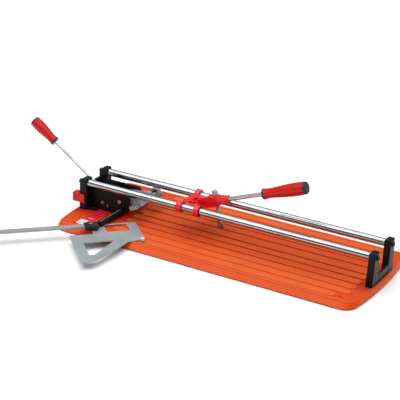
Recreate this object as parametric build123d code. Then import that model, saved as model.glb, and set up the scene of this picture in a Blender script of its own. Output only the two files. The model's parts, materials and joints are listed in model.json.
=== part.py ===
from build123d import *
import math
import os

# A manual tile cutter. Millimetres. +X runs along the cut, from the breaker end to the free end,
# -Y is the side with the angle stop, +Z is up. The origin is on the ground under the tray's centre.

# ---------------------------------------------------------------- driving dimensions
BASE_LENGTH = 970.0
BASE_WIDTH = 410.0
END_RADIUS = 1300.0         # plan radius of the tray's bowed ends
CORNER_RADIUS = 40.0
SKIRT_RUN = 14.0            # how far the skirt leans out from deck to hem along the sides
END_SKIRT_SHARE = 0.4       # the skirt is this much steeper at the ends
HEM_Z = 3.0                 # the skirt's hem, clear of the ground
DECK_Z = 18.0
RIB_Z = 20.0                # top of the ribs, where a tile lies
RIDGE_Z = 22.0              # top of the breaking ridge under the cut
WALL = 4.0                  # thickness of the moulded tray

BAR_DIAMETER = 22.0
BAR_Y = 54.0                # half the spacing of the two guide bars
BAR_Z = 101.0
FRONT_X = -446.0            # rear face of the front posts
REAR_X = 454.0              # front face of the rear posts
POST_DEPTH = 28.0
POST_INNER_Y = 41.0
POST_OUTER_Y = 68.0
POST_TOP_Z = 116.0
REAR_DEPTH = 20.0
REAR_TOP_Z = 115.0

PLATE_INNER_Y = 33.0        # side plates stand inside the posts
PLATE_TOP_Z = 85.0

LEVER_PIVOT = (FRONT_X + 40.0, 43.0)       # x, z of the breaker lever's pin
LEVER_PIN_RADIUS = 4.0
LEVER_ANGLE = 34.0                         # how far the lever points up at rest
ROLLER_ARM = 26.0
ROLLER_DROP = 17.0                         # degrees the roller hangs below its pivot at rest
ROLLER_RADIUS = 8.0
ROCKER_PIVOT = (FRONT_X + 100.0, 60.0)
ROCKER_PIN_RADIUS = 4.5
ROCKER_REST = 25.0                         # degrees the foot is lifted from its flat working pose
FOOT_TILE_Z = 29.0                         # underside of the pads in the flat working pose
FOOT_SPAN = 75.0                           # half the foot's width
FOOT_GAP = 12.0                            # half the gap that the scoring wheel runs through

FENCE_X = FRONT_X + 113.0                  # the face that a tile is pushed against
FENCE_DEPTH = 16.0
FENCE_Z = (24.2, 38.0)
FENCE_END_Y = 150.0
FENCE_NEAR_Y = 160.0                       # the fence's end beside the angle stop

SQUARE_PIVOT = (FRONT_X + 96.0, -188.0)
SQUARE_ANGLE = 45.0
SQUARE_Z = (20.5, 23.5)

CARRIAGE_X = FRONT_X + 304.0               # front face of the carriage
CARRIAGE_LENGTH = 73.0
RING_RADIUS = 17.0
RING_WIDTH = 16.5
BUSH_RADIUS = 13.0
BUSH_CLEARANCE = 0.05

SCORE_PIVOT = (FRONT_X + 345.0, 100.0)
SCORE_ANGLE = 21.0
STRUT_AT = 58.0                            # where the wheel's post crosses the lever, from its pivot
STRUT_TILT = 14.0                          # the post's lean from upright
STRUT_LENGTH = 76.0                        # lever axis to wheel centre
WHEEL_RADIUS = 11.0

PIN_CLEARANCE = 0.05

parts = {}


def keep(name, shape):
    parts[name] = shape


def block(x0, x1, y0, y1, z0, z1):
    return Pos((x0 + x1) / 2, (y0 + y1) / 2, (z0 + z1) / 2) * Box(x1 - x0, y1 - y0, z1 - z0)


def across(x, z, radius, y0, y1):
    """A round bar along Y."""
    return Pos(x, (y0 + y1) / 2, z) * Rot(90, 0, 0) * Cylinder(radius, y1 - y0)


def upright(x, y, radius, z0, z1):
    """A round bar along Z."""
    return Pos(x, y, (z0 + z1) / 2) * Cylinder(radius, z1 - z0)


def along(x0, x1, y, z, radius):
    """A round bar along X."""
    return Pos((x0 + x1) / 2, y, z) * Rot(0, 90, 0) * Cylinder(radius, x1 - x0)


def side_profile(face, y0, y1):
    """Extrude a sketch drawn as (x, z) from y0 to y1."""
    return Pos(0, y1, 0) * Rot(90, 0, 0) * extrude(face, amount=y1 - y0)


def mirrored(shape):
    return mirror(shape, about=Plane.XZ)


def turned(shape, pivot, degrees):
    """Turn a shape about a pin along +Y at (x, z); positive lowers what lies towards +X."""
    x, z = pivot
    return Pos(x, 0, z) * Rot(0, degrees, 0) * Pos(-x, 0, -z) * shape


def both(shape):
    return shape + mirrored(shape)


# ---------------------------------------------------------------- base: tray, spine and feet
def tray_outline(inset, z):
    centre = BASE_LENGTH / 2 - END_RADIUS
    arc = Circle(END_RADIUS - inset * END_SKIRT_SHARE)
    face = Rectangle(BASE_LENGTH + 20, BASE_WIDTH - 2 * inset) & Pos(centre, 0) * arc & Pos(-centre, 0) * arc
    return Pos(0, 0, z) * fillet(face.vertices(), CORNER_RADIUS - inset)


RIB_WIDTH = 28.5
RIB_PITCH = 35.5
FIRST_RIB_Y = 22.0
RIB_EDGE = 1.4                   # the soft edge of each rib
RIBS_PER_SIDE = 5
BEAD_HEIGHT = 2.2
RIB_START_X = FRONT_X + 137.0
RIB_END_X = REAR_X - 16.0
RIDGE_START_X = RIB_START_X + 19.0
DECK_SLOT = (RIB_START_X - 4.0, RIB_START_X + 14.0, 5.0)   # x from, x to, half width
BENCH_HOLE = (421.0, 164.0)      # x, y of the four bench holes from the tray's centre
BENCH_HOLE_RADIUS = 3.5
MIDDLE_HOLE_Y = 75.0
SPINE_Z = 14.0


def tray_outside():
    """The tray with its cavity filled, which the end castings are cut to sit over."""
    body = loft([tray_outline(0, HEM_Z), tray_outline(SKIRT_RUN, DECK_Z)], ruled=True)
    bead = tray_outline(SKIRT_RUN + 1, DECK_Z).face() - tray_outline(SKIRT_RUN + 9, DECK_Z).face()
    bead = extrude(bead, amount=BEAD_HEIGHT, dir=(0, 0, 1))
    return body + chamfer(bead.edges().group_by(Axis.Z)[-1], 1.0)


def base_tray():
    hem, ceiling = tray_outline(WALL, HEM_Z - 0.01), tray_outline(SKIRT_RUN + WALL, DECK_Z - WALL)
    tray = tray_outside() - loft([hem, ceiling], ruled=True)
    middle = (RIB_START_X + RIB_END_X) / 2
    for side in (-1, 1):
        for k in range(RIBS_PER_SIDE):
            shorter = 60 if k == RIBS_PER_SIDE - 1 else 0
            rib = extrude(SlotOverall(RIB_END_X - RIB_START_X - shorter, RIB_WIDTH), amount=RIB_Z - DECK_Z)
            rib = fillet(rib.edges().group_by(Axis.Z)[-1], RIB_EDGE)
            tray += Pos(middle, side * (FIRST_RIB_Y + RIB_PITCH * k), DECK_Z) * rib
    ridge = extrude(SlotOverall(RIB_END_X - RIDGE_START_X, 9), amount=RIDGE_Z - DECK_Z)
    ridge = fillet(ridge.edges().group_by(Axis.Z)[-1], 2.0)
    tray += Pos((RIDGE_START_X + RIB_END_X) / 2, 0, DECK_Z) * ridge
    slot_x0, slot_x1, slot_half = DECK_SLOT
    tray -= block(slot_x0, slot_x1, -slot_half, slot_half, 0, 30)
    holes = [(sx * BENCH_HOLE[0], sy * BENCH_HOLE[1]) for sx in (-1, 1) for sy in (-1, 1)]
    holes += [(0, -MIDDLE_HOLE_Y), (0, MIDDLE_HOLE_Y)]
    for x, y in holes:
        tray -= upright(x, y, BENCH_HOLE_RADIUS, 0, 30)
    return tray


def spine_beam():
    x0, x1, half = FRONT_X - 6, REAR_X + 14, 42.0
    beam = block(x0, x1, -half, half, 5.0, SPINE_Z)
    return beam - block(x0 - 1, x1 + 1, -half + 3, half - 3, 0, SPINE_Z - 3)


FOOT_RADIUS = 13.0


def rubber_feet():
    """Six feet under the deck and one under the spine, where the tile is pressed."""
    spots = [(x, y, SPINE_Z) for x in (-395.0, 0.0, 395.0) for y in (-150.0, 150.0)]
    feet = None
    for x, y, top in spots + [(0.0, 0.0, SPINE_Z - 3)]:
        foot = upright(x, y, FOOT_RADIUS, 0, top)
        foot = fillet(foot.edges().group_by(Axis.Z)[0], 2.0)
        feet = foot if feet is None else feet + foot
    return feet


# ---------------------------------------------------------------- front frame and side plates
LEVER_SLOT_Y = 13.0
FRAME_FRONT_X = FRONT_X - POST_DEPTH
FRAME_TOE_Z = 4.0            # the casting's toes hang over the tray's end
POST_EDGE = 5.0              # round edge of the posts, in front and on top


def post_profile(x0, x1, z0, z1, soft):
    face = Pos((x0 + x1) / 2, (z0 + z1) / 2) * Rectangle(x1 - x0, z1 - z0)
    top = face.vertices().sort_by(Axis.Y)[-2:]
    face = fillet(top.sort_by(Axis.X)[0], soft[0])
    top = face.vertices().sort_by(Axis.Y)[-2:]
    return fillet(face.vertices().group_by(Axis.X)[-1].sort_by(Axis.Y)[-1], soft[1])


def front_frame():
    post = side_profile(post_profile(FRAME_FRONT_X, FRONT_X, FRAME_TOE_Z, POST_TOP_Z, (16, 5)),
                        POST_INNER_Y, POST_OUTER_Y)
    rim = post.faces().sort_by(Axis.Y)[-1].edges().filter_by(lambda e: e.center().X < FRONT_X - 4)
    post = fillet(rim.filter_by(lambda e: e.center().Z > FRAME_TOE_Z + 1), POST_EDGE)
    wall = block(FRAME_FRONT_X, FRAME_FRONT_X + 11, -POST_INNER_Y, POST_INNER_Y, FRAME_TOE_Z, 88)
    wall = fillet(wall.edges().filter_by(Axis.Y).group_by(Axis.Z)[-1], 4)
    frame = both(post) + wall
    frame -= block(FRAME_FRONT_X - 1, FRAME_FRONT_X + 12, -LEVER_SLOT_Y, LEVER_SLOT_Y, 26, 120)
    tab = block(FRONT_X, FRONT_X + 26, POST_INNER_Y, 60, DECK_Z, DECK_Z + 5)
    frame += both(fillet(tab.edges().filter_by(Axis.Z).group_by(Axis.X)[-1], 6))
    for side in (-1, 1):
        frame -= along(FRAME_FRONT_X + 8, FRONT_X + 1, side * BAR_Y, BAR_Z, BAR_DIAMETER / 2)
        frame -= along(FRAME_FRONT_X - 1, FRAME_FRONT_X + 9, side * BAR_Y, BAR_Z, 4.2)
    return frame - tray_outside()


PLATE_END_RADIUS = 30.0
PLATE_SCREW_AT = (FRONT_X + 57.0, 36.0)   # x, z of the cap screw in each side plate
PLATE_SCREW_RADIUS = 3.0


def side_plate(side):
    px, pz = ROCKER_PIVOT
    x0 = FRAME_FRONT_X + 11
    x1 = FENCE_X - FENCE_DEPTH
    face = Pos((x0 + x1) / 2, (DECK_Z + PLATE_TOP_Z) / 2) * Rectangle(x1 - x0, PLATE_TOP_Z - DECK_Z)
    nose = Pos(px, pz) * Circle(PLATE_END_RADIUS)
    nose &= Pos(px + 20, (DECK_Z + PLATE_TOP_Z) / 2) * Rectangle(120, PLATE_TOP_Z - DECK_Z)
    plate = side_profile(face + nose, PLATE_INNER_Y, POST_INNER_Y)
    rib = Pos((PLATE_SCREW_AT[0] + x1) / 2 + 2, 40) * Rectangle(x1 - PLATE_SCREW_AT[0] - 10, 3)
    plate += side_profile(rib, POST_INNER_Y, POST_INNER_Y + 1.5)
    plate += across(px, pz, 15, POST_INNER_Y, POST_INNER_Y + 1.5)
    plate -= block(FENCE_X - FENCE_DEPTH, FENCE_X, 30, 50, FENCE_Z[0], FENCE_Z[1])
    plate -= across(px, pz, ROCKER_PIN_RADIUS + PIN_CLEARANCE, 30, 50)
    plate -= across(*LEVER_PIVOT, LEVER_PIN_RADIUS + PIN_CLEARANCE, 30, 50)
    plate -= across(*PLATE_SCREW_AT, PLATE_SCREW_RADIUS + PIN_CLEARANCE, 30, 50)
    plate -= tray_outside()
    return plate if side > 0 else mirrored(plate)


def plate_screws():
    """A cap screw from the outside of each side plate, which holds the lever's stop block."""
    shank = across(*PLATE_SCREW_AT, PLATE_SCREW_RADIUS, PLATE_INNER_Y, POST_INNER_Y)
    head = across(*PLATE_SCREW_AT, 4.6, POST_INNER_Y, POST_INNER_Y + 3)
    return both(shank + fillet(head.edges().group_by(Axis.Y)[-1], 1.0))


def pin(pivot, radius, head_radius, reach):
    """A shouldered pin through both side plates, with a head at one end and a nut at the other."""
    x, z = pivot
    shaft = across(x, z, radius, -reach, reach)
    head = fillet(across(x, z, head_radius, -reach - 4, -reach).edges().group_by(Axis.Y)[0], 1.2)
    nut = Pos(x, reach, z) * Rot(-90, 0, 0) * extrude(RegularPolygon(head_radius, 6), amount=5)
    return shaft + head + nut


# ---------------------------------------------------------------- rear support
def rear_support():
    x0, x1 = REAR_X, REAR_X + REAR_DEPTH
    y0, y1 = POST_INNER_Y, POST_OUTER_Y
    lower = Pos((x0 + x1) / 2, (y0 + y1) / 2 + 2, DECK_Z) * Rectangle(x1 - x0, y1 - y0 + 6)
    upper = Pos((x0 + x1) / 2, (y0 + y1) / 2, REAR_TOP_Z) * Rectangle(x1 - x0, y1 - y0)
    post = loft([lower, upper], ruled=True)
    post = fillet(post.edges().filter_by(Axis.Y).group_by(Axis.Z)[-1], 4)
    arc_centre = BASE_LENGTH / 2 - END_RADIUS
    apron = Pos(arc_centre, 0, DECK_Z) * (Circle(END_RADIUS - 11) - Circle(END_RADIUS - 18))
    apron &= Pos(REAR_X + 20, 0, DECK_Z) * Rectangle(80, 2 * POST_INNER_Y + 4)
    web = extrude(apron, amount=26)
    flange = Pos(arc_centre, 0, DECK_Z) * Circle(END_RADIUS - 11)
    flange &= Pos(REAR_X + 20, 0, DECK_Z) * Rectangle(60, 2 * POST_OUTER_Y)
    flange -= Pos(REAR_X - 30, 0, DECK_Z) * Rectangle(60, 300)
    support = both(post) + web + extrude(flange, amount=5)
    for side in (-1, 1):
        support -= along(x0 - 1, x1 - 8, side * BAR_Y, BAR_Z, BAR_DIAMETER / 2)
        support -= along(x1 - 9, x1 + 10, side * BAR_Y, BAR_Z, 4.2)
    return support - tray_outside()


def guide_bar(side):
    bar = along(FRAME_FRONT_X + 8, REAR_X + REAR_DEPTH - 8, side * BAR_Y, BAR_Z, BAR_DIAMETER / 2)
    for x in (FRAME_FRONT_X + 8, REAR_X + REAR_DEPTH - 8 - 20):
        bar -= along(x, x + 20, side * BAR_Y, BAR_Z, 4.0)
    return bar


def bar_end_screws():
    """Cap screws that hold each bar end in its post."""
    screws = None
    for side in (-1, 1):
        for x, outward in ((FRAME_FRONT_X, -1), (REAR_X + REAR_DEPTH, 1)):
            head_x = sorted((x, x + outward * 5))
            shank_x = sorted((x, x - outward * 24))
            head = along(*head_x, side * BAR_Y, BAR_Z, 7)
            shank = along(*shank_x, side * BAR_Y, BAR_Z, 3.95)
            hexagon = Pos(x + outward * 5, side * BAR_Y, BAR_Z) * Rot(0, -90 * outward, 0)
            screw = head + shank - hexagon * extrude(RegularPolygon(3.4, 6), amount=3)
            screws = screw if screws is None else screws + screw
    return screws


def base_screws():
    """Button-head screws that fix the front frame and the rear support through the tray to the spine."""
    screws = None
    for x, y, z in ((FRONT_X + 15, 51.5, DECK_Z + 5), (REAR_X + 7, 20, DECK_Z + 5)):
        for side in (-1, 1):
            screw = fillet(upright(x, side * y, 4.8, z, z + 3.2).edges().group_by(Axis.Z)[-1], 2)
            screws = screw if screws is None else screws + screw
    return screws


# ---------------------------------------------------------------- fence
def fence_bar():
    x0, x1 = FENCE_X - FENCE_DEPTH, FENCE_X
    bar = block(x0, x1, -FENCE_NEAR_Y, FENCE_END_Y, FENCE_Z[0], FENCE_Z[1])
    bar = chamfer(bar.edges().filter_by(Axis.Y).group_by(Axis.Z)[-1], 1.5)
    bar -= block(x0 + 5, x0 + 8, -FENCE_NEAR_Y - 1, FENCE_END_Y + 1, FENCE_Z[1] - 3, FENCE_Z[1] + 1)
    return bar


def fence_scale():
    """A printed rule let into the fence's top."""
    strip = block(FENCE_X - FENCE_DEPTH + 5, FENCE_X - FENCE_DEPTH + 8,
                  PLATE_INNER_Y + 10, FENCE_END_Y - 1, FENCE_Z[1] - 3, FENCE_Z[1] - 1.5)
    return both(strip)


def fence_spacers():
    """Blocks between tray and fence beside the side plates."""
    return both(block(FENCE_X - FENCE_DEPTH + 1, FENCE_X - 1, POST_INNER_Y, 46, DECK_Z, FENCE_Z[0]))


def fence_end_stop():
    """The block that closes the fence's far end and stands on the tray."""
    x0, x1 = FENCE_X - FENCE_DEPTH - 4, FENCE_X
    stop = block(x0, x1, FENCE_END_Y, FENCE_END_Y + 26, DECK_Z, FENCE_Z[1])
    return fillet(stop.edges().filter_by(Axis.Z).group_by(Axis.Y)[-1], 5)


TONGUE_Z = (FENCE_Z[0], FENCE_Z[0] + 5)


def fence_tongue():
    """The thin end of the fence that carries the angle stop's swivel."""
    px, py = SQUARE_PIVOT
    tongue = block(px - 10, px + 10, py - 6, -FENCE_NEAR_Y, TONGUE_Z[0], TONGUE_Z[1])
    tongue += upright(px, py - 4, 10, TONGUE_Z[0], TONGUE_Z[1])
    return tongue - upright(px, py, 4 + PIN_CLEARANCE, 0, 60)


def red_label():
    face = RectangleRounded(34, 84, 3)
    return Pos(FRONT_X + 48, -88, DECK_Z) * extrude(face, amount=0.6)


def pale_label():
    face = RectangleRounded(25, 32, 3)
    return Pos(FRONT_X + 38, -148, DECK_Z) * extrude(face, amount=0.6)


def storage_clip():
    """A moulded clip that grips the post's front edge."""
    x0, x1 = FRAME_FRONT_X - 20, FRAME_FRONT_X + 22
    y1 = -POST_INNER_Y - 8
    clip = block(x0, x1, -POST_OUTER_Y - 6, y1, 41, 67)
    clip -= block(FRAME_FRONT_X - 0.2, x1 + 1, -POST_OUTER_Y, y1 + 1, 40, 80)
    clip -= block(FRAME_FRONT_X + 8, x1 + 1, -POST_OUTER_Y - 2, y1 + 1, 40, 80)
    return fillet(clip.edges().filter_by(Axis.Z).group_by(Axis.X)[0], 3)


# ---------------------------------------------------------------- breaker lever
def from_pivot(pivot, degrees, s, t):
    """The point s along a direction raised by degrees from +X and t to its left, as (x, z)."""
    a = math.radians(degrees)
    return (pivot[0] + s * math.cos(a) - t * math.sin(a), pivot[1] + s * math.sin(a) + t * math.cos(a))


LEVER_UP = 180.0 - LEVER_ANGLE             # the breaker lever's direction, from +X
LEVER_ROD_RADIUS = 5.0
LEVER_GRIP_AT = 250.0
LEVER_HUB_Y = 12.0
ROLLER_AT = from_pivot(LEVER_PIVOT, -ROLLER_DROP, ROLLER_ARM, 0)


def on_axis(shape, pivot, degrees, s):
    """Place a shape made along +Z so that it runs along a direction in the XZ plane."""
    x, z = from_pivot(pivot, degrees, s, 0)
    return Pos(x, 0, z) * Rot(0, 90 - degrees, 0) * shape


def rod(radius, length):
    return Pos(0, 0, length / 2) * Cylinder(radius, length)


def link_face(a, ra, b, rb):
    """The outline of two round bosses joined by straight sides, as (x, z)."""
    return make_hull([*(Pos(*a) * Circle(ra)).edges(), *(Pos(*b) * Circle(rb)).edges()])


def breaker_lever_hub():
    cheek = side_profile(link_face(LEVER_PIVOT, 12, ROLLER_AT, 7), 6.5, LEVER_HUB_Y)
    hub = both(cheek) + across(*LEVER_PIVOT, 12, -6.6, 6.6)
    socket = on_axis(fillet(rod(9.5, 46).edges().group_by(Axis.Z)[-1], 2), LEVER_PIVOT, LEVER_UP, 0)
    hub += socket
    hub -= across(*LEVER_PIVOT, LEVER_PIN_RADIUS + PIN_CLEARANCE, -20, 20)
    hub -= across(*ROLLER_AT, 3.0, -20, 20)
    hub -= on_axis(rod(LEVER_ROD_RADIUS, 60), LEVER_PIVOT, LEVER_UP, 16)
    return hub


def return_spring():
    """The envelope of the coil spring round the lever's pin."""
    x, z = LEVER_PIVOT
    return across(x, z, 10.0, 14, 30) - across(x, z, 7.0, 10, 34)


def grip_profile(scale, length):
    """Half the outline of a moulded grip: slim near the collar, full near the end."""
    r = [15.0, 14.2, 15.6, 18.2, 18.9, 17.8]
    s = [0.0, 0.12, 0.32, 0.60, 0.84, 1.0]
    pts = [(ri * scale, si * length) for ri, si in zip(r, s)]
    curve = Spline(*pts)
    outline = curve + Line(pts[-1], (0, length)) + Line((0, length), (0, 0)) + Line((0, 0), pts[0])
    return make_face(outline)


def grip_set(scale, length, rod_radius, bury):
    """The grip, its collar and its end cap, made along +Z from the collar's face."""
    body = revolve(Plane.XZ * grip_profile(scale, length), Axis.Z)
    body -= Pos(0, 0, -1) * rod(rod_radius, bury + 1)
    collar = Pos(0, 0, -6 * scale) * rod(15.8 * scale, 6 * scale)
    collar = fillet(collar.edges().filter_by(GeomType.CIRCLE), 1.4 * scale)
    collar -= Pos(0, 0, -10) * rod(rod_radius, 20)
    cap = Pos(0, 0, length) * rod(17.6 * scale, 7 * scale)
    cap = fillet(cap.edges().group_by(Axis.Z)[-1], 4.5 * scale)
    return body, collar, cap


# ---------------------------------------------------------------- breaker rocker and foot
ARM_Y = (15.0, 31.0)
TAIL_ANGLE = 9.3             # the tail's underside, which the lever's roller runs along
TAIL_DROP = 10.3             # how far that underside passes below the rocker's pin
TAIL_LENGTH = 40.0


ARM_END = (ROCKER_PIVOT[0] + 60.0, 49.0)
ARM_END_RADIUS = 9.0


def flat_to_rest(shape):
    return turned(shape, ROCKER_PIVOT, -ROCKER_REST)


def rocker_arm():
    px, pz = ROCKER_PIVOT
    arm = link_face((px, pz), 15, ARM_END, ARM_END_RADIUS)
    rocker = both(side_profile(arm, ARM_Y[0], ARM_Y[1]))
    rocker = flat_to_rest(rocker)
    rocker += across(px, pz, 15, -ARM_Y[1], ARM_Y[1])
    tail = Pos(-TAIL_LENGTH / 2, 5.5 - TAIL_DROP) * Rectangle(TAIL_LENGTH, 11)
    tail = Pos(px, pz) * Rot(0, 0, TAIL_ANGLE) * tail
    rocker += side_profile(tail, -6.1, 6.1)
    rocker -= across(px, pz, ROCKER_PIN_RADIUS + PIN_CLEARANCE, -50, 50)
    return rocker


def breaker_foot():
    """Two wings with a gap between them for the scoring wheel, ribbed across the top."""
    px, pz = ROCKER_PIVOT
    x0, x1 = px + 46, px + 76
    z0 = FOOT_TILE_Z + 3
    wing = block(x0, x1, FOOT_GAP, FOOT_SPAN, z0, z0 + 8)
    wing = fillet(wing.edges().filter_by(Axis.Z).group_by(Axis.Y)[-1], 6)
    rib = make_face(Polyline((FOOT_GAP, z0 + 7), (FOOT_GAP, z0 + 15), (36, z0 + 15),
                             (FOOT_SPAN - 4, z0 + 11), (FOOT_SPAN - 4, z0 + 7), close=True))
    for x in (x0 + 2, x0 + 13, x0 + 24):
        wing += Pos(x, 0, 0) * extrude(Plane.YZ * rib, amount=4)
    seat = link_face(ROCKER_PIVOT, 15, ARM_END, ARM_END_RADIUS)
    wing -= side_profile(seat, ARM_Y[0], ARM_Y[1])
    return flat_to_rest(both(wing))


def foot_pads():
    px = ROCKER_PIVOT[0]
    pad = block(px + 48, px + 74, FOOT_GAP + 1, FOOT_SPAN - 4, FOOT_TILE_Z, FOOT_TILE_Z + 3)
    return flat_to_rest(both(pad))


# ---------------------------------------------------------------- scoring carriage
def carriage_frame():
    x0, x1 = CARRIAGE_X, CARRIAGE_X + CARRIAGE_LENGTH
    rings = along(x0, x0 + RING_WIDTH, BAR_Y, BAR_Z, RING_RADIUS)
    rings += along(x1 - RING_WIDTH, x1, BAR_Y, BAR_Z, RING_RADIUS)
    rings = fillet(rings.edges().filter_by(GeomType.CIRCLE), 2)
    rail = block(x0 + 2, x1 - 2, 28, BAR_Y - BUSH_RADIUS - 1, BAR_Z - 8, BAR_Z + 8)
    rail = fillet(rail.edges().filter_by(Axis.X), 3)
    cross = block(x0 + 1, x0 + RING_WIDTH + 4, -30, 30, BAR_Z - 9, BAR_Z + 9)
    ear = link_face((x0 + 12, BAR_Z), 9, SCORE_PIVOT, 11)
    frame = both(rings + rail + side_profile(ear, 13, 20)) + cross
    for side in (-1, 1):
        frame -= along(x0 - 1, x1 + 1, side * BAR_Y, BAR_Z, BUSH_RADIUS)
    return frame - across(*SCORE_PIVOT, 5, -30, 30)


def bar_bushings():
    """Four flanged bushes that run on the bars."""
    bushes = None
    x0, x1 = CARRIAGE_X, CARRIAGE_X + CARRIAGE_LENGTH
    for side in (-1, 1):
        for a, b, face in ((x0, x0 + RING_WIDTH, x0 - 1.5), (x1 - RING_WIDTH, x1, x1)):
            bush = along(a, b, side * BAR_Y, BAR_Z, BUSH_RADIUS)
            bush += along(face, face + 1.5, side * BAR_Y, BAR_Z, BUSH_RADIUS + 1.5)
            bush -= along(a - 5, b + 5, side * BAR_Y, BAR_Z, BAR_DIAMETER / 2 + BUSH_CLEARANCE)
            bushes = bush if bushes is None else bushes + bush
    return bushes


# ---------------------------------------------------------------- scoring lever
SCORE_ROD_RADIUS = 6.0
SCORE_ROD_FROM = 68.0            # the rod is pressed into the arm from here, clear of the wheel's post
SCORE_GRIP_AT = 223.0
STRUT_RADIUS = 4.5
STRUT_TOP = from_pivot(SCORE_PIVOT, SCORE_ANGLE, STRUT_AT, 0)


def lever_frame(shape):
    """Place a shape drawn with the lever along +X and its pivot at the origin."""
    return Pos(SCORE_PIVOT[0], 0, SCORE_PIVOT[1]) * Rot(0, -SCORE_ANGLE, 0) * shape


def strut_frame(shape):
    """Place a shape drawn with the wheel's post upright and the lever's axis at the origin."""
    return Pos(STRUT_TOP[0], 0, STRUT_TOP[1]) * Rot(0, -STRUT_TILT, 0) * shape


def scoring_arm():
    bosses = ((0, 0, 13), (38, 6, 13), (50, -6, 9), (88, 0, 10))
    circles = [Pos(s, t) * Circle(radius) for s, t, radius in bosses]
    side = make_hull([edge for circle in circles for edge in circle.edges()])
    arm = side_profile(side, -11.5, 11.5)
    arm = fillet(arm.edges().filter_by(GeomType.CIRCLE, reverse=False), 1.5)
    arm += Pos(84, 0, 0) * Rot(0, 90, 0) * fillet(rod(11.5, 18).edges().group_by(Axis.Z)[-1], 2)
    arm -= across(0, 0, 5 + PIN_CLEARANCE, -20, 20)
    arm -= Pos(SCORE_ROD_FROM, 0, 0) * Rot(0, 90, 0) * rod(SCORE_ROD_RADIUS, 60)
    return lever_frame(arm) - strut_frame(upright(0, 0, STRUT_RADIUS, -40, 40))


HOLDER_TOP = 24.0
AXLE_RADIUS = 2.95


def wheel_holder():
    """The post that carries the wheel, forked at its lower end."""
    post = upright(0, 0, STRUT_RADIUS, -STRUT_LENGTH + 14, HOLDER_TOP)
    fork = block(-6, 6, -6, 6, -STRUT_LENGTH - 6, -STRUT_LENGTH + 20)
    fork = fillet(fork.edges().filter_by(Axis.Y), 4)
    fork -= block(-12, 12, -1.8, 1.8, -STRUT_LENGTH - 10, -STRUT_LENGTH + 12.5)
    fork -= across(0, -STRUT_LENGTH, AXLE_RADIUS + PIN_CLEARANCE, -10, 10)
    return strut_frame(post + fork)


def holder_knob():
    knob = upright(0, 0, 8.0, HOLDER_TOP - 2, HOLDER_TOP + 8)
    knob = fillet(knob.edges().group_by(Axis.Z)[-1], 3)
    knob -= upright(0, 0, STRUT_RADIUS, 0, HOLDER_TOP)
    return strut_frame(knob)


def wheel_axle():
    return strut_frame(across(0, -STRUT_LENGTH, AXLE_RADIUS, -7.5, 7.5))


def scoring_wheel():
    """A carbide disc with a bevelled rim."""
    r, edge, half = WHEEL_RADIUS, 2.6, 1.4
    rim = [(3.0, -half), (r - edge, -half), (r, 0), (r - edge, half), (3.0, half)]
    disc = revolve(Plane.XZ * make_face(Polyline(*rim, close=True)), Axis.Z)
    return strut_frame(Pos(0, 0, -STRUT_LENGTH) * Rot(90, 0, 0) * disc)


# ---------------------------------------------------------------- angle stop
def square_frame(shape):
    """Place a shape drawn in the stop's own axes: +X along its long leg, pivot at the origin."""
    return Pos(SQUARE_PIVOT[0], SQUARE_PIVOT[1], 0) * Rot(0, 0, SQUARE_ANGLE) * shape


HEEL = (-69.0, -35.0)            # the stop's outer corner, from its pivot
LEG_WIDTH = 53.0
SPUR_WIDTH = 30.0
SPUR_LENGTH = 188.0
HEAD_AT = 207.0                  # the guiding edge, from the heel
HEAD_UP = 63.0
HEAD_DOWN = 58.0


def stop_point(u, v):
    """u runs along the long leg from the heel, v runs from the leg's edge towards the spur's end."""
    return (HEEL[0] + u, HEEL[1] - v)


def angle_stop_plate():
    outline = [(0, 0), (0, SPUR_LENGTH), (44, SPUR_LENGTH - 18), (116, 107), (158, 66), (194, 62),
               (HEAD_AT, HEAD_DOWN), (HEAD_AT, -HEAD_UP), (70, -HEAD_UP), (70, 0)]
    window = [(SPUR_WIDTH, LEG_WIDTH), (119, LEG_WIDTH), (46, 137), (SPUR_WIDTH, 138)]
    plate_face, window_face = [make_face(Polyline(*[stop_point(*p) for p in points], close=True))
                               for points in (outline, window)]
    plate = extrude(plate_face, amount=SQUARE_Z[1] - SQUARE_Z[0])
    plate -= fillet(extrude(window_face, amount=20, both=True).edges().filter_by(Axis.Z), 3)
    slot = block(HEEL[0] + 110, HEEL[0] + 178, HEEL[1] + 8, HEEL[1] + 56, -5, 10)
    plate -= fillet(slot.edges().filter_by(Axis.Z), 6)
    plate -= upright(0, 0, 4.0, -5, 10)
    return square_frame(Pos(0, 0, SQUARE_Z[0]) * plate)


SWIVEL_Z = (TONGUE_Z[1] + 0.3, TONGUE_Z[1] + 10)
RULER_LENGTH = 330.0
RULER_WIDTH = 20.0
RULER_THICK = 5.0


def swivel_head():
    head = block(-20, 21, -15, 15, SWIVEL_Z[0], SWIVEL_Z[1])
    head = fillet(head.edges().filter_by(Axis.Z), 4)
    half = RULER_WIDTH / 2 + 0.3
    head -= block(-30, 30, -half, half, SWIVEL_Z[0] + 2.0, SWIVEL_Z[0] + 2.6 + RULER_THICK)
    head -= upright(0, 0, 4.0, 0, 60)
    return square_frame(head)


def ruler():
    z0 = SWIVEL_Z[0] + 2.3
    bar = block(-RULER_LENGTH, -6, -RULER_WIDTH / 2, RULER_WIDTH / 2, z0, z0 + RULER_THICK)
    return square_frame(bar)


def pivot_screw():
    shank = upright(0, 0, 4.0, SQUARE_Z[0] + 0.5, SWIVEL_Z[1])
    head = fillet(upright(0, 0, 6.5, SWIVEL_Z[1], SWIVEL_Z[1] + 4).edges().group_by(Axis.Z)[-1], 1.5)
    return square_frame(shank + head)


def stop_button():
    x, y = stop_point(198, 66)
    return square_frame(upright(x, y, 6, SQUARE_Z[1], SQUARE_Z[1] + 7))


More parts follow.
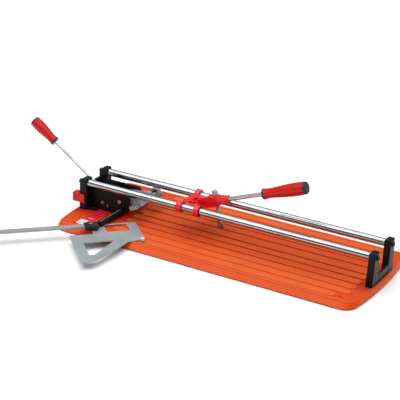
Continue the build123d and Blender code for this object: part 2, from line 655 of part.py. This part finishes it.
# ---------------------------------------------------------------- write the parts
keep("base_tray", base_tray())
keep("spine_beam", spine_beam())
keep("rubber_feet", rubber_feet())
keep("front_frame", front_frame())
keep("side_plate_near", side_plate(-1))
keep("side_plate_far", side_plate(1))
keep("rear_support", rear_support())
keep("guide_bar_near", guide_bar(-1))
keep("guide_bar_far", guide_bar(1))
keep("bar_end_screws", bar_end_screws())
keep("base_screws", base_screws())
keep("fence_bar", fence_bar())
keep("fence_scale", fence_scale())
keep("fence_spacers", fence_spacers())
keep("fence_end_stop", fence_end_stop())
keep("fence_tongue", fence_tongue())
keep("red_label", red_label())
keep("pale_label", pale_label())
keep("storage_clip", storage_clip())
keep("lever_pivot_pin", pin(LEVER_PIVOT, LEVER_PIN_RADIUS, 5.8, POST_INNER_Y + 0.2))
keep("rocker_pivot_pin", pin(ROCKER_PIVOT, ROCKER_PIN_RADIUS, 6.4, POST_INNER_Y + 1.7))
keep("plate_screws", plate_screws())

keep("breaker_lever_hub", breaker_lever_hub())
keep("breaker_lever_rod", on_axis(rod(LEVER_ROD_RADIUS, LEVER_GRIP_AT + 40 - 18), LEVER_PIVOT, LEVER_UP, 18))
for name, shape in zip(("breaker_grip", "breaker_grip_collar", "breaker_grip_cap"),
                       grip_set(0.9, 82, LEVER_ROD_RADIUS, 40)):
    keep(name, on_axis(shape, LEVER_PIVOT, LEVER_UP, LEVER_GRIP_AT))
keep("breaker_roller", across(*ROLLER_AT, ROLLER_RADIUS, -6, 6) - across(*ROLLER_AT, 3.05, -7, 7))
keep("roller_pin", across(*ROLLER_AT, 3.0, -13.5, 13.5))

keep("lever_return_spring", return_spring())

keep("rocker_arm", rocker_arm())
keep("breaker_foot", breaker_foot())
keep("foot_pads", foot_pads())

keep("carriage_frame", carriage_frame())
keep("bar_bushings", bar_bushings())
keep("carriage_pivot_pin", pin(SCORE_PIVOT, 5.0, 7.5, 20.2))

keep("scoring_arm", scoring_arm())
scoring_rod = rod(SCORE_ROD_RADIUS, SCORE_GRIP_AT + 60 - SCORE_ROD_FROM)
keep("scoring_lever_rod", on_axis(scoring_rod, SCORE_PIVOT, SCORE_ANGLE, SCORE_ROD_FROM))
for name, shape in zip(("scoring_grip", "scoring_grip_collar", "scoring_grip_cap"),
                       grip_set(1.0, 126, SCORE_ROD_RADIUS, 60)):
    keep(name, on_axis(shape, SCORE_PIVOT, SCORE_ANGLE, SCORE_GRIP_AT))
keep("wheel_holder", wheel_holder())
keep("holder_knob", holder_knob())
keep("wheel_axle", wheel_axle())
keep("scoring_wheel", scoring_wheel())

keep("angle_stop_plate", angle_stop_plate())
keep("swivel_head", swivel_head())
keep("pivot_screw", pivot_screw())
keep("ruler", ruler())
keep("stop_button", stop_button())

os.makedirs("parts", exist_ok=True)
for name, shape in parts.items():
    whole = shape if isinstance(shape, (Part, Compound, Solid)) else Part() + shape
    export_step(whole, f"parts/{name}.step")
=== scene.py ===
import bpy
import bmesh
import json
import math
from mathutils import Matrix, Vector


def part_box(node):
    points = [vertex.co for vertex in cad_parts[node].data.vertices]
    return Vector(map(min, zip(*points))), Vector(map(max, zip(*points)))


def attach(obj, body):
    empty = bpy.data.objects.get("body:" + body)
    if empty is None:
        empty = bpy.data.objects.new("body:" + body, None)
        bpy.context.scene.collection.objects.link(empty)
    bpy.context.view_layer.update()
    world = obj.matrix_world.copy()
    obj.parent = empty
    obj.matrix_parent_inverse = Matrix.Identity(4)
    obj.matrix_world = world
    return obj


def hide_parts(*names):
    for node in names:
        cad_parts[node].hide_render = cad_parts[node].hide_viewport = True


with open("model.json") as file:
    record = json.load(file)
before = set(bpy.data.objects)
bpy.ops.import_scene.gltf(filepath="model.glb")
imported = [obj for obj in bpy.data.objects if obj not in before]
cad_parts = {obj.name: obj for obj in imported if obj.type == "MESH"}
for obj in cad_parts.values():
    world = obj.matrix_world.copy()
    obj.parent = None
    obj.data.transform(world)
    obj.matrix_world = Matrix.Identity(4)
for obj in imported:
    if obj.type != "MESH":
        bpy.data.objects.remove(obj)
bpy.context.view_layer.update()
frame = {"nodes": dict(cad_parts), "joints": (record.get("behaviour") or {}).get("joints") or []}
nodes = frame["nodes"]

# ---------------------------------------------------------------- camera
# A long lens a little over three and a half metres away, above the near corner of the free end's side,
# rolled slightly so that the bars run downhill to the right.
AZIMUTH, ELEVATION, ROLL = math.radians(28.473), math.radians(22.477), math.radians(-2.685)
CAMERA_DISTANCE = 3.72055
CAMERA_AIM = Vector((-0.100, 0.0, 0.11094))
SENSOR_WIDTH = 36.0
FOCAL_LENGTH = 116.106

back = Vector((
    math.sin(AZIMUTH) * math.cos(ELEVATION),
    -math.cos(AZIMUTH) * math.cos(ELEVATION),
    math.sin(ELEVATION),
))
level_right = Vector((0, 0, 1)).cross(back).normalized()
level_up = back.cross(level_right)
right = level_right * math.cos(ROLL) - level_up * math.sin(ROLL)
upward = level_right * math.sin(ROLL) + level_up * math.cos(ROLL)
camera = bpy.data.objects.new("camera", bpy.data.cameras.new("camera"))
bpy.context.scene.collection.objects.link(camera)
camera.data.sensor_width = SENSOR_WIDTH
camera.data.lens = FOCAL_LENGTH
camera.data.clip_end = 50
turn = Matrix((right, upward, back)).transposed().to_4x4()
camera.matrix_world = Matrix.Translation(CAMERA_AIM + back * CAMERA_DISTANCE) @ turn
bpy.context.scene.camera = camera

# ---------------------------------------------------------------- studio
# A white table that runs out of view, a pale room that is bright overhead and dimmer near the horizon,
# so that polished parts show a dark line, and one large soft light from the upper left.
TABLE_HALF = 12.0
SKY_STOPS = ((0.0, 0.15), (0.50, 0.03), (0.58, 0.06), (0.83, 0.16), (0.91, 0.92), (1.0, 1.0))
SKY_STRENGTH = 2.25
SOFTBOX_SIZE = 1.6
SOFTBOX_POWER = 14.0
SOFTBOX_AT = Vector((-1.3, -1.5, 2.2))

bpy.context.scene.view_settings.view_transform = "Standard"


class Shade:
    """A socket of one node tree. Sums and products of it add Math nodes, and node() adds any other node."""

    def __init__(self, tree, socket=None):
        self.tree, self.socket = tree, socket

    def node(self, kind, settings=(), values=(), output=0):
        made = self.tree.nodes.new(kind)
        for name, value in dict(settings).items():
            if name == "stops":
                ramp = made.color_ramp.elements
                for extra in range(len(value) - 2):
                    ramp.new(0.5)
                for element, (place, colour) in zip(ramp, value):
                    element.position, element.color = place, colour
            else:
                setattr(made, name, value)
        for name, value in dict(values).items():
            if isinstance(value, Shade):
                self.tree.links.new(value.socket, made.inputs[name])
            else:
                made.inputs[name].default_value = value
        return Shade(self.tree, made.outputs[output])

    def maths(self, operation, first, second=0.0):
        return self.node("ShaderNodeMath", {"operation": operation}, {0: first, 1: second})

    def __add__(self, other):
        return self.maths("ADD", self, other)

    def __radd__(self, other):
        return self.maths("ADD", other, self)

    def __sub__(self, other):
        return self.maths("SUBTRACT", self, other)

    def __rsub__(self, other):
        return self.maths("SUBTRACT", other, self)

    def __mul__(self, other):
        return self.maths("MULTIPLY", self, other)

    def __rmul__(self, other):
        return self.maths("MULTIPLY", other, self)

    def __truediv__(self, other):
        return self.maths("DIVIDE", self, other)

    def __lt__(self, other):
        return self.maths("LESS_THAN", self, other)

    def __gt__(self, other):
        return self.maths("GREATER_THAN", self, other)


def grey(level):
    return (level, level, level, 1.0)


world = bpy.data.worlds.new("studio")
bpy.context.scene.world = world
world.use_nodes = True
background = world.node_tree.nodes["Background"]
room = Shade(world.node_tree)
direction = room.node("ShaderNodeTexCoord")
height = direction.node("ShaderNodeSeparateXYZ", {}, {0: direction}, 2)
sky = height.node("ShaderNodeValToRGB", {"stops": [(at, grey(level)) for at, level in SKY_STOPS]},
                  {0: height * 0.5 + 0.5})
world.node_tree.links.new(sky.socket, background.inputs["Color"])
background.inputs["Strength"].default_value = SKY_STRENGTH

softbox = bpy.data.objects.new("softbox", bpy.data.lights.new("softbox", "AREA"))
bpy.context.scene.collection.objects.link(softbox)
softbox.data.size = SOFTBOX_SIZE
softbox.data.energy = SOFTBOX_POWER
softbox_turn = (SOFTBOX_AT - CAMERA_AIM).to_track_quat("Z", "Y").to_matrix().to_4x4()
softbox.matrix_world = Matrix.Translation(SOFTBOX_AT) @ softbox_turn


def finish_of(name, fixed, varied=None):
    """A material: fixed values on the shader's own sockets, and what varied() works out from the place."""
    made = bpy.data.materials.new(name)
    made.use_nodes = True
    tree = made.node_tree
    shader = tree.nodes["Principled BSDF"]
    for socket, value in fixed.items():
        shader.inputs[socket].default_value = value
    if varied:
        place = Shade(tree, tree.nodes.new("ShaderNodeTexCoord").outputs["Object"])
        for socket, value in varied(place).items():
            tree.links.new(value.socket, shader.inputs[socket])
    return made


def piece_of(name, mesh_builder, material):
    """A new mesh object that mesh_builder fills, with one material."""
    mesh = bpy.data.meshes.new(name)
    bm = bmesh.new()
    mesh_builder(bm)
    bm.to_mesh(mesh)
    bm.free()
    made = bpy.data.objects.new(name, mesh)
    bpy.context.scene.collection.objects.link(made)
    mesh.materials.append(material)
    return made


def table_top(bm):
    bmesh.ops.create_grid(bm, x_segments=1, y_segments=1, size=TABLE_HALF)


TABLE_WHITE = {"Base Color": grey(0.93), "Roughness": 0.9, "Specular IOR Level": 0.1}
piece_of("table", table_top, finish_of("table_white", TABLE_WHITE))


# ---------------------------------------------------------------- tray
# One moulded plate of orange plastic that everything stands on: a flat deck with long round-ended ribs, a low
# bead round its edge and a skirt leaning out to the hem. The valleys between the ribs are painted darker and
# redder as shade, and the middle of the deck under the bars is painted darker and redder as the bars' shade.
DECK_HEIGHT = 0.018
RIB_TOP = 0.020
# Painted shade: the rib colour under the bars is darker and redder, and both valley colours are darker still.
RIB_ORANGE_BAR_SHADE = (0.68, 0.080, 0.007, 1)
RIB_ORANGE_PALE = (0.74, 0.120, 0.022, 1)
VALLEY_SHADED_ORANGE = (0.50, 0.018, 0.001, 1)
VALLEY_LIGHTLY_SHADED_ORANGE = (0.68, 0.062, 0.006, 1)
SKIRT_ORANGE = (0.74, 0.080, 0.004, 1)
SKIRT_FADE = (DECK_HEIGHT - 0.0012, DECK_HEIGHT - 0.0004)
RIB_FADE = (DECK_HEIGHT + 0.0004, RIB_TOP - 0.0001)
BAR_SHADE_FADE_FROM, BAR_SHADE_FADE_TO = 0.05, 0.13


def coat(material, *names):
    for name in names:
        slots = nodes[name].data.materials
        slots.clear()
        slots.append(material)


def noise(place, scale, detail=3.0, roughness=0.55):
    values = {"Vector": place, "Scale": scale, "Detail": detail, "Roughness": roughness}
    return place.node("ShaderNodeTexNoise", {}, values)


def blend_colour(factor, first, second):
    """Two colours mixed by a factor from 0 to 1."""
    return factor.node("ShaderNodeMix", {"data_type": "RGBA"}, {0: factor, 6: first, 7: second}, 2)


def between(value, low, high):
    """0 below low, 1 above high, smooth in between."""
    return value.node("ShaderNodeMapRange", {"interpolation_type": "SMOOTHSTEP"}, {0: value, 1: low, 2: high})


def bumped(height, strength, distance, softened=0.0):
    """A normal from a height, on edges rounded by a radius in metres if it is given."""
    values = {"Height": height, "Strength": strength, "Distance": distance}
    if softened:
        values["Normal"] = height.node("ShaderNodeBevel", {"samples": 4}, {"Radius": softened})
    return height.node("ShaderNodeBump", {}, values)


def axis_of(place, axis):
    return place.node("ShaderNodeSeparateXYZ", {}, {0: place}, axis)


def tray_plastic(place):
    up = axis_of(place, 2)
    top = between(up, *RIB_FADE)
    sideways = axis_of(place, 1)
    # Painted shade under the bars, fading out from the middle of the deck towards its sides.
    out_of_bar_shade = between(sideways.maths("ABSOLUTE", sideways), BAR_SHADE_FADE_FROM, BAR_SHADE_FADE_TO)
    cloud = between(noise(place, 7.0), 0.35, 0.7)
    grain = noise(place, 900.0, 2.0)
    rib = blend_colour(out_of_bar_shade * 0.6 + cloud * 0.4, RIB_ORANGE_BAR_SHADE, RIB_ORANGE_PALE)
    # Painted shade in the valleys between the ribs, darkest under the bars.
    valley_shade = blend_colour(out_of_bar_shade, VALLEY_SHADED_ORANGE, VALLEY_LIGHTLY_SHADED_ORANGE)
    deck = blend_colour(top, valley_shade, rib)
    return {
        "Base Color": blend_colour(between(up, *SKIRT_FADE), SKIRT_ORANGE, deck),
        "Roughness": 0.34 + top * 0.08 + noise(place, 40.0) * 0.08,
        "Normal": bumped(grain + noise(place, 160.0) * 0.6, 0.14, 0.0004, 0.0006),
    }


tray_finish = finish_of("tray_orange", {"Specular IOR Level": 0.2}, tray_plastic)
coat(tray_finish, "base_tray")

# ---------------------------------------------------------------- spine and feet
# A folded steel channel under the deck ties the two end castings together and takes the breaking load.
# It is sprayed dark grey. The deck stands on black rubber feet pressed into it.
SPINE_GREY = (0.085, 0.087, 0.092, 1)
SPINE_GREY_WORN = (0.15, 0.15, 0.155, 1)
RUBBER_BLACK = (0.018, 0.018, 0.019, 1)
RUBBER_DUSTY = (0.040, 0.039, 0.038, 1)


def sprayed_steel(place):
    patches = noise(place, 26.0, 4.0)
    return {
        "Base Color": blend_colour(between(patches, 0.5, 0.75), SPINE_GREY, SPINE_GREY_WORN),
        "Roughness": 0.42 + noise(place, 90.0) * 0.2,
        "Normal": bumped(noise(place, 700.0), 0.1, 0.0003, 0.0005),
    }


def rubber(place):
    dust = between(noise(place, 60.0, 5.0), 0.45, 0.75)
    return {
        "Base Color": blend_colour(dust, RUBBER_BLACK, RUBBER_DUSTY),
        "Roughness": 0.72 + dust * 0.15,
        "Normal": bumped(noise(place, 1100.0), 0.25, 0.0003),
    }


rubber_finish = finish_of("rubber_black", {"Specular IOR Level": 0.35}, rubber)
coat(finish_of("spine_paint", {"Metallic": 0.0}, sprayed_steel), "spine_beam")
coat(rubber_finish, "rubber_feet", "foot_pads")

# ---------------------------------------------------------------- castings
# The end frames, the side plates and the fence are die-cast aluminium in black satin powder coat. The coat
# keeps a faint orange-peel, and its edges are painted a lighter grey in patches as a highlight.
CAST_BLACK = (0.0045, 0.0048, 0.0055, 1)
# Painted highlight: the lighter grey given to the castings' edges.
CAST_BLACK_EDGE_HIGHLIGHT = (0.075, 0.080, 0.088, 1)
CAST_EDGE = 0.0016


def powder_coat(place):
    facing = place.node("ShaderNodeNewGeometry", {}, {}, 1)
    rounded = place.node("ShaderNodeBevel", {"samples": 4}, {"Radius": CAST_EDGE})
    agreement = rounded.node("ShaderNodeVectorMath", {"operation": "DOT_PRODUCT"}, {0: rounded, 1: facing}, 1)
    # Painted highlight: edges found by the rounded normal are painted lighter grey, broken into patches by
    # noise.
    edge = between(1.0 - agreement, 0.02, 0.22)
    highlight_patches = between(noise(place, 120.0, 5.0), 0.42, 0.66)
    return {
        "Base Color": blend_colour(edge * (0.35 + 0.65 * highlight_patches), CAST_BLACK, CAST_BLACK_EDGE_HIGHLIGHT),
        "Roughness": 0.38 + 0.08 * noise(place, 35.0) - 0.12 * edge,
        "Normal": bumped(noise(place, 420.0, 2.0), 0.10, 0.0003, 0.0011),
    }


cast_finish = finish_of("cast_black", {"Specular IOR Level": 0.22}, powder_coat)
coat(cast_finish, "front_frame", "side_plate_near", "side_plate_far", "rear_support",
     "breaker_lever_hub", "fence_bar", "fence_tongue")

# ---------------------------------------------------------------- guide bars
# Two ground steel bars, hard-chromed, that the carriage runs on. They are mirror bright, with the very fine
# rings of centreless grinding round them and a trace of wiped oil.
CHROME = (0.40, 0.42, 0.445, 1)
CHROME_OILED = (0.32, 0.34, 0.36, 1)


def ground_chrome(place):
    squeezed = place.node("ShaderNodeMapping", {}, {"Vector": place, "Scale": (900.0, 6.0, 6.0)})
    rings = noise(squeezed, 1.0, 2.0)
    oil = between(noise(place, 18.0, 4.0), 0.45, 0.7)
    return {
        "Base Color": blend_colour(oil, CHROME, CHROME_OILED),
        "Roughness": 0.06 + 0.05 * oil + 0.03 * rings,
    }


coat(finish_of("chrome_bar", {"Metallic": 1.0}, ground_chrome), "guide_bar_near", "guide_bar_far")

# ---------------------------------------------------------------- turned steel: screws, pins, rods
# Small turned parts are zinc-plated and a little duller. The two lever rods are drawn steel with a satin
# plating and a fine grain.
ZINC = (0.34, 0.35, 0.37, 1)
ZINC_DULL = (0.20, 0.21, 0.22, 1)
SCREW_BLACK = (0.02, 0.02, 0.022, 1)
ROD_STEEL = (0.66, 0.67, 0.685, 1)
ROD_STEEL_DULL = (0.50, 0.51, 0.525, 1)


def zinc(place):
    spots = between(noise(place, 260.0, 4.0), 0.42, 0.68)
    return {
        "Base Color": blend_colour(spots, ZINC, ZINC_DULL),
        "Roughness": 0.26 + 0.16 * spots,
        "Normal": bumped(noise(place, 1500.0), 0.12, 0.0002, 0.0004),
    }


def black_oxide(place):
    spots = noise(place, 300.0, 3.0)
    return {
        "Base Color": blend_colour(between(spots, 0.5, 0.7), SCREW_BLACK, grey(0.05)),
        "Roughness": 0.30 + 0.2 * spots,
        "Normal": bumped(noise(place, 1500.0), 0.1, 0.0002, 0.0004),
    }


def drawn_steel(place):
    streaks = noise(place, 340.0, 2.0)
    patches = between(noise(place, 22.0, 4.0), 0.40, 0.70)
    return {
        "Base Color": blend_colour(patches, ROD_STEEL, ROD_STEEL_DULL),
        "Roughness": 0.24 + 0.10 * patches + 0.06 * streaks,
        "Normal": bumped(streaks, 0.08, 0.0002),
    }


zinc_finish = finish_of("zinc_plate", {"Metallic": 1.0}, zinc)
rod_finish = finish_of("rod_steel", {"Metallic": 1.0}, drawn_steel)
coat(zinc_finish, "lever_pivot_pin", "rocker_pivot_pin", "plate_screws", "roller_pin", "breaker_roller",
     "carriage_pivot_pin", "wheel_axle", "pivot_screw")
coat(finish_of("screw_black", {"Metallic": 0.8}, black_oxide), "bar_end_screws", "base_screws")
coat(rod_finish, "breaker_lever_rod", "scoring_lever_rod")
coat(zinc_finish, "wheel_holder")

# ---------------------------------------------------------------- red castings
# The scoring carriage and the arm that carries the lever are die castings under glossy red enamel,
# thick enough to round every edge, and a little paler in random clouds.
ENAMEL_RED = (0.80, 0.007, 0.012, 1)
ENAMEL_RED_PALE = (0.88, 0.014, 0.022, 1)


def enamel(place):
    cloud = between(noise(place, 30.0, 3.0), 0.38, 0.68)
    return {
        "Base Color": blend_colour(cloud, ENAMEL_RED, ENAMEL_RED_PALE),
        "Roughness": 0.20 + 0.08 * cloud,
        "Normal": bumped(noise(place, 300.0, 2.0), 0.12, 0.0004, 0.0014),
    }


ENAMEL_GLOSS = {"Coat Weight": 0.25, "Coat Roughness": 0.06, "Specular IOR Level": 0.35}
enamel_finish = finish_of("red_enamel", ENAMEL_GLOSS, enamel)
coat(enamel_finish, "carriage_frame", "scoring_arm")

# ---------------------------------------------------------------- grips
# Both levers end in a moulded red grip between a black collar and a black end cap. The grip is satin, with
# a fine moulded grain, and slightly darker in random patches.
GRIP_RED = (0.60, 0.008, 0.007, 1)
GRIP_RED_HELD = (0.46, 0.005, 0.004, 1)
MOULDED_BLACK = (0.007, 0.007, 0.008, 1)
MOULDED_BLACK_PALE = (0.020, 0.020, 0.022, 1)


def satin_red(place):
    held = between(noise(place, 24.0, 3.0), 0.45, 0.75)
    return {
        "Base Color": blend_colour(held, GRIP_RED, GRIP_RED_HELD),
        "Roughness": 0.30 + 0.10 * held,
        "Normal": bumped(noise(place, 900.0, 2.0), 0.2, 0.0003, 0.0008),
    }


def moulded_black(place):
    cloud = between(noise(place, 50.0, 4.0), 0.4, 0.7)
    return {
        "Base Color": blend_colour(cloud, MOULDED_BLACK, MOULDED_BLACK_PALE),
        "Roughness": 0.34 + 0.14 * cloud,
        "Normal": bumped(noise(place, 900.0, 2.0), 0.2, 0.0003, 0.0006),
    }


grip_finish = finish_of("grip_red", {"Specular IOR Level": 0.3}, satin_red)
black_finish = finish_of("moulded_black", {}, moulded_black)
coat(grip_finish, "breaker_grip", "scoring_grip", "storage_clip")
coat(black_finish, "breaker_grip_collar", "breaker_grip_cap", "scoring_grip_collar", "scoring_grip_cap",
     "fence_spacers", "bar_bushings", "swivel_head")

# ---------------------------------------------------------------- breaker foot
# The two wings that press the tile down are one raw aluminium casting, tumbled after casting,
# so it is grey and grainy with brighter patches at random.
FOOT_GREY = (0.33, 0.37, 0.41, 1)
FOOT_BRIGHT = (0.66, 0.71, 0.76, 1)


def raw_casting(place):
    grain = noise(place, 420.0, 4.0)
    patches = between(noise(place, 60.0, 4.0), 0.40, 0.66)
    return {
        "Base Color": blend_colour(patches, FOOT_GREY, FOOT_BRIGHT),
        "Roughness": 0.36 + 0.2 * grain,
        "Normal": bumped(grain, 0.35, 0.0005, 0.0010),
    }


foot_finish = finish_of("foot_casting", {"Metallic": 0.75}, raw_casting)
coat(foot_finish, "breaker_foot", "rocker_arm", "fence_end_stop", "holder_knob")

# ---------------------------------------------------------------- scoring wheel
# A small disc of ground carbide turns on the axle in the fork. Grinding leaves a fine grain on it.
CARBIDE = (0.30, 0.30, 0.32, 1)


def ground_carbide(place):
    fine = noise(place, 1400.0, 2.0)
    return {
        "Base Color": blend_colour(fine, CARBIDE, grey(0.42)),
        "Roughness": 0.2 + 0.15 * fine,
        "Normal": bumped(fine, 0.1, 0.0002),
    }


coat(finish_of("carbide", {"Metallic": 1.0}, ground_carbide), "scoring_wheel")

# ---------------------------------------------------------------- angle stop and ruler
# The stop is laser-cut aluminium plate, matt anodised pale grey. The ruler is drawn aluminium strip with
# a division every five millimetres let into one edge.
ANODISED = (0.33, 0.36, 0.375, 1)
ANODISED_PALE = (0.41, 0.44, 0.455, 1)
TICK_BLACK = (0.03, 0.03, 0.03, 1)
RULE_STEP = 0.005
RULE_LONG_STEP = 0.010
TICK_REACH = 0.0035
LONG_TICK_REACH = 0.006


def anodised(place):
    cloud = between(noise(place, 14.0, 4.0), 0.35, 0.7)
    grain = noise(place, 1200.0, 2.0)
    return {
        "Base Color": blend_colour(cloud, ANODISED, ANODISED_PALE),
        "Roughness": 0.42 + 0.12 * grain,
        "Normal": bumped(grain, 0.1, 0.0002, 0.0005),
    }


def divisions(run, across_from_edge):
    """1 on the marks of a rule: short ones every step, longer ones every second step."""
    short = (run / RULE_STEP).maths("FRACT", run / RULE_STEP) < 0.10
    long = (run / RULE_LONG_STEP).maths("FRACT", run / RULE_LONG_STEP) < 0.05
    return short * (across_from_edge < TICK_REACH) + long * (across_from_edge < LONG_TICK_REACH)


ruler_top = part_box("ruler")[1].z
RULER_HALF_WIDTH = 0.010
RULER_TURN = math.radians(45)
joint_places = {joint["name"]: joint.get("pos_m") for joint in frame["joints"]}
swivel_place = Vector(joint_places["angle_stop_swivel"])


def ruled_aluminium(place):
    turned = place.node("ShaderNodeMapping", {"vector_type": "TEXTURE"},
                        {"Vector": place, "Location": swivel_place, "Rotation": (0, 0, RULER_TURN)})
    marks = divisions(axis_of(turned, 0) + 1.0, RULER_HALF_WIDTH - axis_of(turned, 1))
    on_top = axis_of(place, 2) > ruler_top - 0.0002
    base = anodised(place)
    shown = (marks * on_top).maths("MINIMUM", marks * on_top, 1.0)
    base["Base Color"] = blend_colour(shown, base["Base Color"], TICK_BLACK)
    return base


coat(finish_of("anodised_plate", {"Metallic": 0.35}, anodised), "angle_stop_plate")
coat(finish_of("ruler_aluminium", {"Metallic": 0.35}, ruled_aluminium), "ruler")

# ---------------------------------------------------------------- stop button
# A natural nylon button riveted to the stop's head, which the tile's edge rests against.
NYLON = (0.80, 0.79, 0.74, 1)
NYLON_AGED = (0.72, 0.70, 0.64, 1)


def nylon(place):
    cloud = noise(place, 90.0, 3.0)
    return {
        "Base Color": blend_colour(between(cloud, 0.4, 0.7), NYLON, NYLON_AGED),
        "Roughness": 0.35 + 0.1 * cloud,
        "Normal": bumped(noise(place, 900.0), 0.1, 0.0003, 0.0008),
    }


coat(finish_of("nylon", {"Subsurface Weight": 0.1, "Subsurface Scale": 0.002}, nylon), "stop_button")

# ---------------------------------------------------------------- fence scale
# A printed strip let into the fence on both sides, with a black division every five millimetres.
scale_low, scale_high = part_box("fence_scale")


def printed_scale(place):
    marks = divisions(axis_of(place, 1) + 1.0, axis_of(place, 0) - scale_low.x)
    shown = marks.maths("MINIMUM", marks, 1.0)
    return {
        "Base Color": blend_colour(shown, grey(0.72), TICK_BLACK),
        "Roughness": 0.35 + 0.1 * noise(place, 200.0),
    }


coat(finish_of("scale_print", {}, printed_scale), "fence_scale")

# ---------------------------------------------------------------- labels
# Two foil labels stuck on the deck beside the front frame: a red one with a patch of paler bars, and a pale
# one with thin grey rules. They carry no words.
LABEL_RED = (0.72, 0.010, 0.035, 1)
LABEL_PINK = (0.80, 0.42, 0.42, 1)
red_low, red_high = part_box("red_label")
pale_low, pale_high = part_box("pale_label")


def within(value, low, high):
    return (value > low) * (value < high)


def red_print(place):
    x, y = axis_of(place, 0), axis_of(place, 1)
    middle = (red_low + red_high) / 2
    bars_x = within(x, middle.x - 0.009, middle.x + 0.009)
    bars = bars_x * within(y, red_low.y + 0.008, red_low.y + 0.022)
    stripes = (y / 0.004).maths("FRACT", y / 0.004) < 0.45
    return {
        "Base Color": blend_colour(bars * stripes, LABEL_RED, LABEL_PINK),
        "Roughness": 0.22 + 0.1 * noise(place, 120.0),
    }


def pale_print(place):
    x, y = axis_of(place, 0), axis_of(place, 1)
    ruled_x = within(x, pale_low.x + 0.004, pale_high.x - 0.004)
    inner = ruled_x * within(y, pale_low.y + 0.005, pale_high.y - 0.012)
    rules = (x / 0.005).maths("FRACT", x / 0.005) < 0.25
    return {
        "Base Color": blend_colour(inner * rules, grey(0.80), grey(0.25)),
        "Roughness": 0.25 + 0.1 * noise(place, 120.0),
    }


coat(finish_of("red_foil", {"Coat Weight": 0.3}, red_print), "red_label")
coat(finish_of("pale_foil", {"Coat Weight": 0.3}, pale_print), "pale_label")

# ---------------------------------------------------------------- return spring
# A torsion spring of 1.6 mm wire wound round the breaker lever's pin, beside the hub. It holds the lever up.
SPRING_TURNS = 7
SPRING_STEPS = 22
WIRE_RADIUS = 0.0008
WIRE_SIDES = 8
spring_low, spring_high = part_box("lever_return_spring")


def coil(bm):
    middle = (spring_low + spring_high) / 2
    coil_radius = (spring_high.x - spring_low.x) / 2 - WIRE_RADIUS - 0.0004
    start = Vector((middle.x + coil_radius, spring_low.y + 2 * WIRE_RADIUS, middle.z))
    section = bmesh.ops.create_circle(bm, cap_ends=False, segments=WIRE_SIDES, radius=WIRE_RADIUS,
                                      matrix=Matrix.Translation(start))
    length = spring_high.y - spring_low.y - 4 * WIRE_RADIUS
    edges = list({edge for vert in section["verts"] for edge in vert.link_edges})
    steps = SPRING_TURNS * SPRING_STEPS
    bmesh.ops.spin(bm, geom=section["verts"] + edges, cent=middle, axis=(0, 1, 0),
                   dvec=(0, length / steps, 0), angle=math.tau * SPRING_TURNS, steps=steps)
    bmesh.ops.holes_fill(bm, edges=[edge for edge in bm.edges if edge.is_boundary], sides=WIRE_SIDES)
    for face in bm.faces:
        face.smooth = True
    bmesh.ops.recalc_face_normals(bm, faces=bm.faces)


spring = piece_of("return_spring_coil", coil, zinc_finish)
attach(spring, "breaker_lever")
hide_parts("lever_return_spring")
